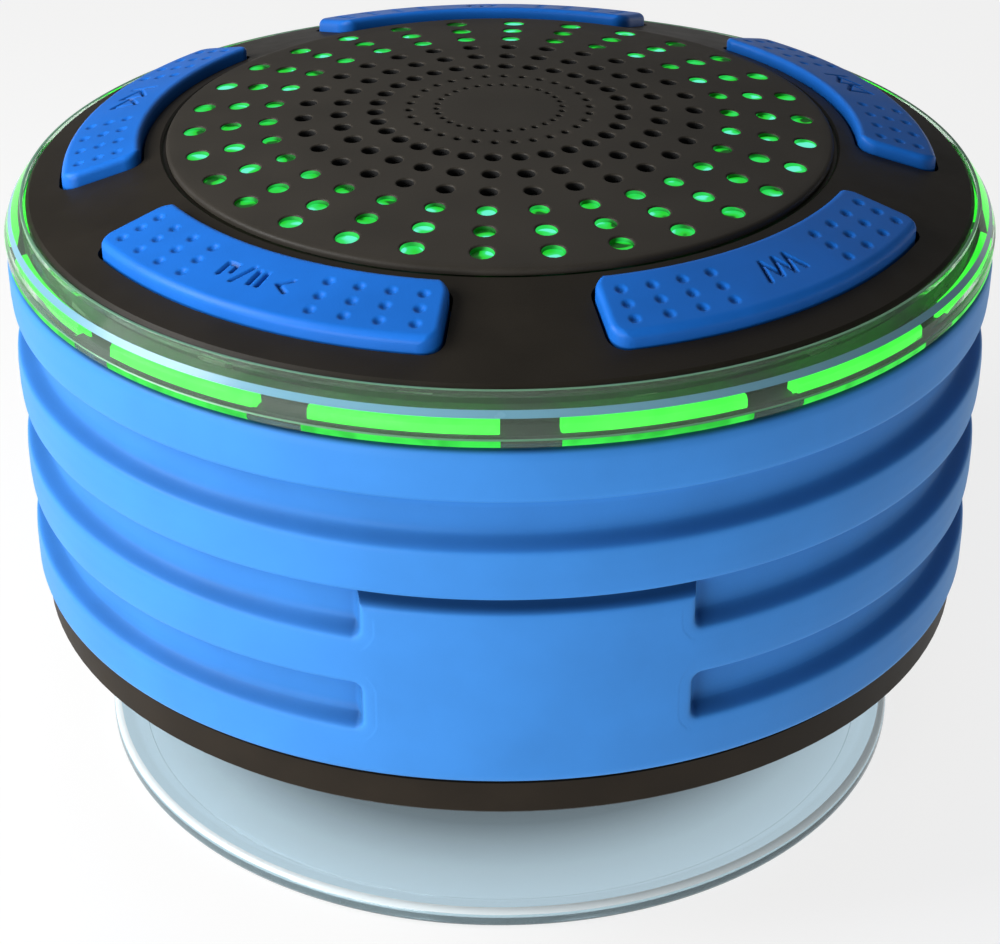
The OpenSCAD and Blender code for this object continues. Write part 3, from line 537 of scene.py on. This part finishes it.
def make_grille(material, wall_painted_shade, wall_lit):
    """The domed disc, one cell round each hole, with painted shade on the inner holes' walls and a painted
    green glow on the outer holes' walls.
    """
    limits = [CELLS_OUT]
    limits += [(RING_RADII[i] + RING_RADII[i + 1]) / 2 for i in range(len(RING_RADII) - 1)]
    limits += [CELLS_IN]
    step = 2 * math.pi / GRILLE_ROWS
    verts, faces = [], []

    def ring(points, drop):
        first = len(verts)
        verts.extend((x, y, dome(math.hypot(x, y), drop)) for x, y in points)
        return list(range(first, first + len(points)))

    def bridge(one, two):
        for k in range(len(one)):
            n = (k + 1) % len(one)
            faces.append((one[k], one[n], two[n], two[k]))

    for row in range(GRILLE_ROWS):
        a0 = FRONT + row * step
        mid = a0 + step / 2
        for i, (ring_r, hole_r) in enumerate(zip(RING_RADII, HOLE_RADII)):
            border = cell_border(limits[i + 1], limits[i], a0, a0 + step)
            cx, cy = ring_r * math.cos(mid), ring_r * math.sin(mid)
            turns = [math.atan2(y - cy, x - cx) for x, y in border]
            soft = min(HOLE_ROUND, hole_r * 0.3)

            def circle(radius):
                return [(cx + radius * math.cos(t), cy + radius * math.sin(t)) for t in turns]

            blend_r = hole_r + soft * 1.8 if hole_r > SMALL_HOLE_R else hole_r * 2.2
            stages = [ring(border, 0), ring(circle(blend_r), 0)]
            stages.append(ring(circle(hole_r + soft), 0))
            stages.append(ring(circle(hole_r + soft * 0.35), soft * 0.3))
            stages.append(ring(circle(hole_r), soft))
            stages.append(ring(circle(hole_r), GRILLE_T - 0.02))
            stages.append(ring(border, GRILLE_T))
            for one, two in zip(stages, stages[1:]):
                bridge(one, two)
    edge = GRILLE_R / MM
    rim = [(limits[0], 0), (edge - 0.5, 0), (edge - 0.2, 0.05), (edge - 0.05, 0.18), (edge, 0.4)]
    rim += [(edge, GRILLE_T - 0.1), (edge - 0.3, GRILLE_T), (limits[0], GRILLE_T)]
    centre = [(limits[-1], 0), (4.2, 0), (2.8, 0), (1.4, 0), (0, 0)]
    centre += [(0, GRILLE_T), (limits[-1], GRILLE_T)]
    around = GRILLE_ROWS * CELL_STEPS
    for strip in (rim, centre):
        rings = []
        for r, drop in strip:
            angles = [FRONT + 2 * math.pi * k / around for k in range(around)]
            rings.append(ring([(r * math.cos(a), r * math.sin(a)) for a in angles], drop))
        for one, two in zip(rings, rings[1:]):
            bridge(one, two)
    piece = new_piece("grille_plate", millimetres(verts), faces, material, 50)
    piece.data.materials.append(wall_painted_shade)
    piece.data.materials.append(wall_lit)
    lit_from = (RING_RADII[LIT_RINGS - 1] + RING_RADII[LIT_RINGS]) / 2
    for face in piece.data.polygons:
        r = math.hypot(face.center.x, face.center.y) / MM
        upright = abs(face.normal.z) < UPRIGHT
        if upright and r < CELLS_OUT:
            # the outer rings' walls get the painted glow, the inner ones the painted shade
            face.material_index = 2 if r > lit_from else 1
    show(piece, "main", "dark_grille", "grille_disc")


# ---------- buttons, in millimetres ----------

BUTTON_IN, BUTTON_OUT = 40.4, 49.3
BUTTON_MID = (BUTTON_IN + BUTTON_OUT) / 2
BUTTON_HALF = math.radians(26.2)
BUTTON_H = 1.5  # over the plate
BUTTON_CORNER = 2.0
BUTTON_EDGE = 0.75
BUTTON_FINE = [0, 0.03, 0.09, 0.18, 0.3, 0.45, 0.62]  # where its edge is sampled
END_ZONE = 3.2  # the stretch at a pad's end that its rounded corners squeeze
LIP_W = 0.9
SKIRT = [(-0.6, 0), (-2.3, 0), (-2.3, LIP_W), (-3.3, LIP_W)]  # depth under the plate, and spread
DIMPLE_R, DIMPLE_DEPTH = 0.56, 0.3
DIMPLE_ROWS = [43.0, 45.15, 47.3]
DIMPLE_TURNS = [math.radians(d) for d in (9.8, 14.2, 18.6, 23.0)]
GLYPH_ZONE = math.radians(8)
GLYPH_HALF_LINE, GLYPH_DEPTH = 0.16, 0.42
PLATE_SLOPE = 4.3 / 15.5
PLATE_INNER, PLATE_INNER_Z = 38.0, 74.6


def plate_z(r):
    """Height of the sloping top plate at a radius."""
    return PLATE_INNER_Z - (r - PLATE_INNER) * PLATE_SLOPE


def arc_line(cx, cy, r, a0, a1, n=14):
    """A curved line as short straight pieces."""
    turns = [math.radians(a0 + (a1 - a0) * k / n) for k in range(n + 1)]
    points = [(cx + r * math.cos(t), cy + r * math.sin(t)) for t in turns]
    return list(zip(points, points[1:]))


def closed(points):
    """The sides of a closed shape."""
    return list(zip(points, points[1:] + points[:1]))


def triangle(x, way, size=1.5):
    """A triangle that points right for a way of 1 and left for -1."""
    back, tip = x - way * size * 0.8, x + way * size * 0.9
    return closed([(back, -size), (back, size), (tip, 0)])


def bar(x, size=1.5):
    """An upright line."""
    return [((x, -size), (x, size))]


def stroke(*points):
    """A line drawn from point to point."""
    return list(zip(points, points[1:]))


# the marks, as straight lines measured across and up from a pad's middle
GLYPHS = {
    "play": stroke((-4.1, -0.9), (-4.1, 0.9), (-2.9, 0.9), (-2.9, -0.2)) + stroke((-2.1, -1.3), (-1.0, 1.3))
    + bar(-0.1, 1.0) + bar(0.9, 1.0) + stroke((4.1, 0.9), (2.8, 0.0), (4.1, -0.9)),
    "mode": stroke((-2.6, -1.5), (-1.7, 1.3), (-0.8, -1.2), (0.1, 1.3), (0.9, -1.3), (1.7, 1.3), (2.5, -1.2)),
    "next": triangle(-1.4, 1) + triangle(1.4, 1) + bar(3.4),
    "previous": triangle(1.4, -1) + triangle(-1.4, -1) + bar(-3.4),
    "power": arc_line(0, 0.1, 1.7, 125, 415) + stroke((0, 0.3), (0, 2.2)),
}


def line_distance(x, y, ends):
    """How far a point is from a straight line between two ends."""
    (x0, y0), (x1, y1) = ends
    dx, dy = x1 - x0, y1 - y0
    t = max(0.0, min(1.0, ((x - x0) * dx + (y - y0) * dy) / (dx * dx + dy * dy)))
    return math.hypot(x - x0 - t * dx, y - y0 - t * dy)


def button_height(r, a, glyph):
    """Height of a pad's top over the plate, in millimetres, before its edge is rounded."""
    height = BUTTON_H
    if abs(a) > DIMPLE_TURNS[0] - 0.03:
        for row in DIMPLE_ROWS:
            for turn in DIMPLE_TURNS:
                gap = math.hypot(r - row, (abs(a) - turn) * row)
                if gap < DIMPLE_R * 1.25:
                    height -= DIMPLE_DEPTH * smooth_step(1.25 - gap / DIMPLE_R)
    elif abs(a) < GLYPH_ZONE:
        x, y = -a * BUTTON_MID, BUTTON_MID - r
        gap = min(line_distance(x, y, ends) for ends in glyph)
        height -= GLYPH_DEPTH * smooth_step((GLYPH_HALF_LINE + 0.1 - gap) / 0.2)
    return height


def smooth_step(t):
    """Eases from 0 to 1 as t goes from 0 to 1."""
    t = max(0.0, min(1.0, t))
    return t * t * (3 - 2 * t)


def corner_trim(r):
    """How far a pad's end is cut back at a radius by its rounded corners."""
    edge = min(r - BUTTON_IN, BUTTON_OUT - r)
    if edge >= BUTTON_CORNER:
        return 0.0
    return BUTTON_CORNER - math.sqrt(max(0.0, BUTTON_CORNER ** 2 - (BUTTON_CORNER - edge) ** 2))


def outline_normals(points):
    """Outward unit normals of a closed outline."""
    following = points[1:] + points[:1]
    normals = []
    area = 0.0
    for i, (here, after) in enumerate(zip(points, following)):
        along = after - points[i - 1]
        normals.append(Vector((along.y, -along.x)).normalized())
        area += here.x * after.y - after.x * here.y
    if area < 0:
        normals = [-n for n in normals]
    return normals


def pad_samples(length, step):
    """Places across a pad, close together beside both edges."""
    middle = list(np.arange(BUTTON_EDGE, length - 0.7, step))
    return BUTTON_FINE + middle + [length - c for c in reversed(BUTTON_FINE)]


def make_button(name, middle, material):
    """A curved pad with its mark, its dimples, its rounded edge and the lip under the plate."""
    glyph = GLYPHS[name]
    radii = [BUTTON_IN + r for r in pad_samples(BUTTON_OUT - BUTTON_IN, 0.15)]
    half_length = BUTTON_HALF * BUTTON_MID
    along = pad_samples(2 * half_length, 0.16)
    verts, faces = [], []
    for s in along:
        x = s - half_length
        for r in radii:
            reach = half_length - corner_trim(r)
            x_here = x
            if abs(x) > half_length - END_ZONE:
                t = (abs(x) - half_length + END_ZONE) / END_ZONE
                x_here = math.copysign(half_length - END_ZONE + t * (reach - half_length + END_ZONE), x)
            a = x_here / BUTTON_MID
            end_gap = (reach - abs(x_here)) * (r / BUTTON_MID)
            edge = min(end_gap, r - BUTTON_IN, BUTTON_OUT - r)
            fall = 0.0
            if edge < BUTTON_EDGE:
                fall = BUTTON_EDGE - math.sqrt(max(0.0, BUTTON_EDGE ** 2 - (BUTTON_EDGE - edge) ** 2))
            z = plate_z(r) + button_height(r, a, glyph) - fall
            turn = middle - a
            verts.append((r * math.cos(turn), r * math.sin(turn), z))
    rows, columns = len(along), len(radii)
    for s in range(rows - 1):
        for k in range(columns - 1):
            here = s * columns + k
            faces.append((here, here + 1, here + columns + 1, here + columns))
    border = list(range(columns))
    border += [s * columns + columns - 1 for s in range(1, rows)]
    border += [(rows - 1) * columns + k for k in range(columns - 2, -1, -1)]
    border += [s * columns for s in range(rows - 2, 0, -1)]
    upper = border
    outward = outline_normals([Vector(verts[v][:2]) for v in border])
    for depth, spread in SKIRT:
        first = len(verts)
        for v, normal in zip(border, outward):
            x, y = verts[v][0] + normal.x * spread, verts[v][1] + normal.y * spread
            verts.append((x, y, plate_z(math.hypot(x, y)) + depth))
        lower = list(range(first, first + len(border)))
        for k in range(len(border)):
            n = (k + 1) % len(border)
            faces.append((upper[k], lower[k], lower[n], upper[n]))
        upper = lower
    faces.append(tuple(upper))
    piece = new_piece("pad_" + name, millimetres(verts), faces, material, 65)
    show(piece, name + "_button", "button_silicone", "button_" + name)


# ---------- turned pieces, in millimetres ----------

BAR_COUNT = 14
BAR_SPAN = math.radians(19.6)
CUP_EDGE_R, CUP_EDGE_Z = 46.6, 1.8  # where the rim passes into the slope
CUP_HUB_R = 13.0
CUP_RISE = 13.4
CUP_STEPS = 40
CUP_RIM_R, CUP_RIM_H = 49.2, 2.2
CUP_INNER_R = 44.6  # the hollow lies within this radius
CUP_WALL, CUP_WALL_GROWS = 1.4, 2.2  # at the rim, and what it gains by the hub
HUB_TOP_Z, HUB_UNDER_Z = 19.1, 12.0
STUD_HOLE_R, SEAT_R = 5.1, 9.6  # the seat is the flat that the stud's head lies against


def make_turned(materials):
    """The clear ring and the cup, with painted bands where they catch or spread light."""
    ring = rounded([
        (55.5, 64.95, 0), (55.85, 64.95, 0.1), (56.05, 65.3, 0.08), (56.05, 65.75, 0.04), (55.9, 65.88, 0.04),
        (56.1, 66.02, 0.04), (56.1, 66.9, 0.4), (55.65, 68.0, 0.1), (55.2, 68.7, 0.1), (54.1, 70.2, 0.12),
        (53.8, 70.2, 0.05), (53.8, 69.25, 0), (51.2, 69.25, 0.1), (51.2, 66.6, 0), (52.2, 66.6, 0),
        (52.2, 67.7, 0), (55.0, 67.7, 0.1), (55.5, 67.2, 0.1),
    ], 4)
    clear = lathe("clear_light_ring", millimetres(ring), materials["clear_ring"], crease=25)
    paint(clear, materials["ring_painted_reflection"], 54.5, 68.02, 68.68)  # painted reflection: a pale blue stripe on the shoulder
    paint(clear, materials["ring_painted_edge_light"], 53.7, 70.0, 70.3)  # painted edge light along the top edge
    paint(clear, materials["ring_painted_edge_light"], 55.6, 65.77, 66.0)  # painted edge light, a fine line near the foot
    paint(clear, materials["ring_glow"], 55.6, 65.0, 65.77, bar_starts())  # painted green glow on the ring below the bars
    show(clear, "main", "clear_ring", "light_ring")
    vinyl = lathe("cup_vinyl", millimetres(cup_profile()), materials["clear_vinyl"], crease=70)
    # painted darker edge line on the rim's outer side
    paint(vinyl, materials["rim_painted_edge_line"], 48.95, 0.3, 1.75)
    # painted highlight along the rim's outer top edge
    paint(vinyl, materials["rim_glint"], 48.4, 1.75, 2.19)
    show(vinyl, "cup", "clear_vinyl", "suction_cup")


def paint(piece, material, r_min, z_min, z_max, starts=None):
    """Another material on the faces beyond a radius and between two heights, or on those by the bars."""
    piece.data.materials.append(material)
    for face in piece.data.polygons:
        r, z = math.hypot(face.center.x, face.center.y) / MM, face.center.z / MM
        angle = math.atan2(face.center.y, face.center.x)
        beside = not starts or any(0 < (angle - start) % (2 * math.pi) < BAR_SPAN for start in starts)
        if beside and r > r_min and z_min < z < z_max:
            face.material_index = len(piece.data.materials) - 1


def cup_profile():
    """The cup's outline: its thick rim, the slope up to the hub, the stud's hole and the inner wall."""
    outer, inner = [], []
    for k in range(CUP_STEPS + 1):
        s = k / CUP_STEPS
        r = CUP_EDGE_R + (CUP_HUB_R - CUP_EDGE_R) * s
        z = CUP_EDGE_Z + CUP_RISE * (s + smooth_step(s)) / 2
        outer.append((r, z))
        if r < CUP_INNER_R:
            inner.append((r, z - CUP_WALL - CUP_WALL_GROWS * s))
    rim = rounded([
        (45, 0, 0.1), (CUP_RIM_R, 0, 0.7), (CUP_RIM_R, CUP_RIM_H, 0.9), (47.4, CUP_RIM_H, 0.4),
        (CUP_EDGE_R, CUP_EDGE_Z, 0),
    ], 6)
    neck = [(CUP_HUB_R, HUB_TOP_Z - 0.5), (CUP_HUB_R - 0.5, HUB_TOP_Z), (STUD_HOLE_R, HUB_TOP_Z)]
    neck += [(STUD_HOLE_R, HUB_UNDER_Z), (SEAT_R, HUB_UNDER_Z)]
    return rim[:-1] + outer + neck + inner[::-1]


def bar_starts():
    """Angles at which the light bars begin, the front lying between two of them."""
    step = 2 * math.pi / BAR_COUNT
    return [FRONT + step * (k + 0.5) - BAR_SPAN / 2 for k in range(BAR_COUNT)]


def make_bars(material):
    """The short lit bars in the clear ring's groove."""
    lo, hi = BAR_LO.z / MM, BAR_HI.z / MM
    profile = rounded([
        (53.4, lo, 0), (54.3, lo, 0), (54.3, lo + 0.4, 0), (55.25, lo + 0.4, 0.12), (55.25, hi - 0.4, 0.12),
        (54.85, hi, 0.12), (53.4, hi, 0.12),
    ], 2)
    bars = arc_blocks("lit_bars", millimetres(profile), bar_starts(), BAR_SPAN, 24, material)
    show(bars, "main", "green_light", "light_bars")


# ---------- everything ----------

def material_set():
    """Every material by its name, with the names of the record's slots among them."""
    made = {
        "clear_vinyl": surface(
            "clear_vinyl", (0.60, 0.77, 0.87), 0.05, Transmission_Weight=0.95, IOR=1.18
        ),
        # painted edge line for the cup's rim
        "rim_painted_edge_line": surface("rim_painted_edge_line", (0.55, 0.76, 0.84), 0.05, Transmission_Weight=0.8, IOR=1.4),
        # painted highlight for the cup's rim
        "rim_glint": surface(
            "rim_glint", (0.86, 0.94, 0.97), 0.15, rough_vary=0.05, Transmission_Weight=0.25
        ),
        "clear_stud": surface("clear_stud", (0.85, 0.92, 0.95), 0.15, Transmission_Weight=0.85, IOR=1.45),
        "black_rubber": surface("black_rubber", (0.018, 0.018, 0.018), 0.7, vary=0.2, grain=0.3),
        # painted shade in the narrow gap under the sleeve's edge
        "dark_base": surface(
            "dark_base", (0.022, 0.0165, 0.011), 0.5, vary=0.15, grain=0.3, rough_vary=0.08,
            painted_cavity_shade=0.85, reach=2 * MM, Specular_IOR_Level=0.1
        ),
        "brass": surface("brass", (0.72, 0.48, 0.18), 0.28, 1, vary=0.12, rough_vary=0.1),
        "seal_rubber": surface("seal_rubber", (0.015, 0.015, 0.015), 0.55, grain=0.2),
        "screw_steel": surface("screw_steel", (0.62, 0.62, 0.64), 0.3, 1, vary=0.08, rough_vary=0.12),
        "black_housing": surface("black_housing", (0.018, 0.018, 0.018), 0.5, grain=0.3, rough_vary=0.1),
        # painted shade in the grooves, deepest on their upward-facing lower walls
        "blue_silicone": surface(
            "blue_silicone", (0.047, 0.255, 0.72), 0.5, vary=0.05, grain=0.2, rough_vary=0.06, scale=900,
            painted_cavity_shade=0.72, Specular_IOR_Level=0.16,
            Sheen_Weight=0.2, Sheen_Roughness=0.35, Sheen_Tint=(0.45, 0.95, 1, 1)
        ),
        "flap_silicone": surface("flap_silicone", (0.045, 0.235, 0.66), 0.45, vary=0.05, grain=0.22),
        "dark_plate": surface(
            "dark_plate", (0.020, 0.0165, 0.012), 0.5, vary=0.12, grain=0.3, rough_vary=0.07,
            Specular_IOR_Level=0.2
        ),
        "clear_ring": surface("clear_ring", (0.78, 0.94, 0.82), 0.05, Transmission_Weight=0.94, IOR=1.12),
        # painted reflection on the clear ring's shoulder
        "ring_painted_reflection": surface("ring_painted_reflection", (0.17, 0.38, 0.50), 0.25, rough_vary=0.05),
        # painted edge light on the clear ring
        "ring_painted_edge_light": surface("ring_painted_edge_light", (0.17, 0.38, 0.24), 0.3, rough_vary=0.05),
        # painted glow on the clear ring below the bars
        "ring_glow": glow("ring_glow", [(0.3, (0.01, 0.45, 0.02)), (0.6, (0.03, 0.75, 0.05))], 1.0, 400),
        "green_light": glow(
            "green_light", [(0.35, (0.03, 0.85, 0.03)), (0.6, (0.05, 1.0, 0.045))], 1.5, 260
        ),
        "dark_grille": surface(
            "dark_grille", (0.042, 0.037, 0.030), 0.5, vary=0.12, grain=0.3, rough_vary=0.07,
            Specular_IOR_Level=0.2
        ),
        # painted shade: near-black walls in the inner holes
        "hole_painted_shade": surface("hole_painted_shade", (0.004, 0.004, 0.004), 0.9, vary=0.1),
        # painted glow: the outer holes' walls lit green
        "hole_lit": glow("hole_lit", [(0.38, (0.0, 0.04, 0.0)), (0.6, (0.02, 0.6, 0.08))], 1.0, 330),
        "black_cloth": weave("black_cloth", (0.006, 0.006, 0.006), 0.95, 0.35 * MM),
        "glow_plastic": glow(
            "glow_plastic", [
                (0.36, (0.0, 0.03, 0.0)), (0.42, (0.01, 0.5, 0.02)), (0.54, (0.02, 0.6, 0.1)),
                (0.6, (0.12, 0.75, 0.55)),
            ], 1.15, 330
        ),
        # painted shade in the pads' dimples and marks
        "button_silicone": surface(
            "button_silicone", (0.012, 0.18, 0.74), 0.42, vary=0.06, grain=0.2, rough_vary=0.06, painted_cavity_shade=0.5,
            Specular_IOR_Level=0.18
        ),
        "white_plastic": surface("white_plastic", (0.75, 0.75, 0.72), 0.45, grain=0.1),
        "circuit_board": surface("circuit_board", (0.008, 0.09, 0.03), 0.3, vary=0.35, scale=1600, grain=0.1),
        "black_component": surface("black_component", (0.015, 0.015, 0.016), 0.5, vary=0.2, grain=0.2),
        "led_package": surface("led_package", (0.8, 0.8, 0.7), 0.3, vary=0.1),
        "nickel": surface("nickel", (0.66, 0.65, 0.62), 0.25, 1, vary=0.06, rough_vary=0.1),
        "black_basket": surface("black_basket", (0.02, 0.02, 0.022), 0.42, grain=0.5),
        "ferrite": surface("ferrite", (0.045, 0.045, 0.05), 0.6, vary=0.25, grain=0.4),
        "plated_steel": surface("plated_steel", (0.6, 0.6, 0.58), 0.32, 1, vary=0.08, rough_vary=0.12),
        "copper_coil": surface("copper_coil", (0.7, 0.3, 0.12), 0.3, 1, vary=0.2, scale=5000),
        "black_cone": surface("black_cone", (0.014, 0.014, 0.014), 0.6, vary=0.3, grain=0.4),
        "spider_fabric": weave("spider_fabric", (0.6, 0.42, 0.14), 0.9, 0.4 * MM),
        "battery_foil": surface("battery_foil", (0.62, 0.62, 0.65), 0.35, 1, vary=0.05, rough_vary=0.1),
        "wire_red": surface("wire_red", (0.5, 0.015, 0.015), 0.4, grain=0.1),
        "wire_orange": surface("wire_orange", (0.8, 0.26, 0.015), 0.4, grain=0.1),
        "ribbon": surface("ribbon", (0.68, 0.68, 0.64), 0.4, vary=0.1),
    }
    # painted shade under the speaker's base, darkening the cup towards its hub, where its wall is also
    # thicker
    thickness_and_shade_tint(made["clear_vinyl"], 1.6 * MM, 5 * MM, 0.78)
    return made


def dress_frame(materials):
    """Gives every CAD node the material of its slot in the record."""
    slots = {row["node"]: row["material_slot"] for row in frame["record"]["subparts"]}
    for name, node in frame["nodes"].items():
        node.data.materials.clear()
        node.data.materials.append(materials[slots[name]])
        smooth(node, 32)


def button_angles():
    """The middle of each pad, by its name."""
    names = ["mode", "next", "power", "previous", "play"]
    return {name: FRONT + math.radians(72) * (i + 0.5) for i, name in enumerate(names)}


make_camera()
make_studio()
MATERIALS = material_set()
dress_frame(MATERIALS)
make_sleeve(MATERIALS["blue_silicone"])
make_grille(MATERIALS["dark_grille"], MATERIALS["hole_painted_shade"], MATERIALS["hole_lit"])
make_turned(MATERIALS)
make_bars(MATERIALS["green_light"])
for button_name, button_middle in button_angles().items():
    make_button(button_name, button_middle, MATERIALS["button_silicone"])
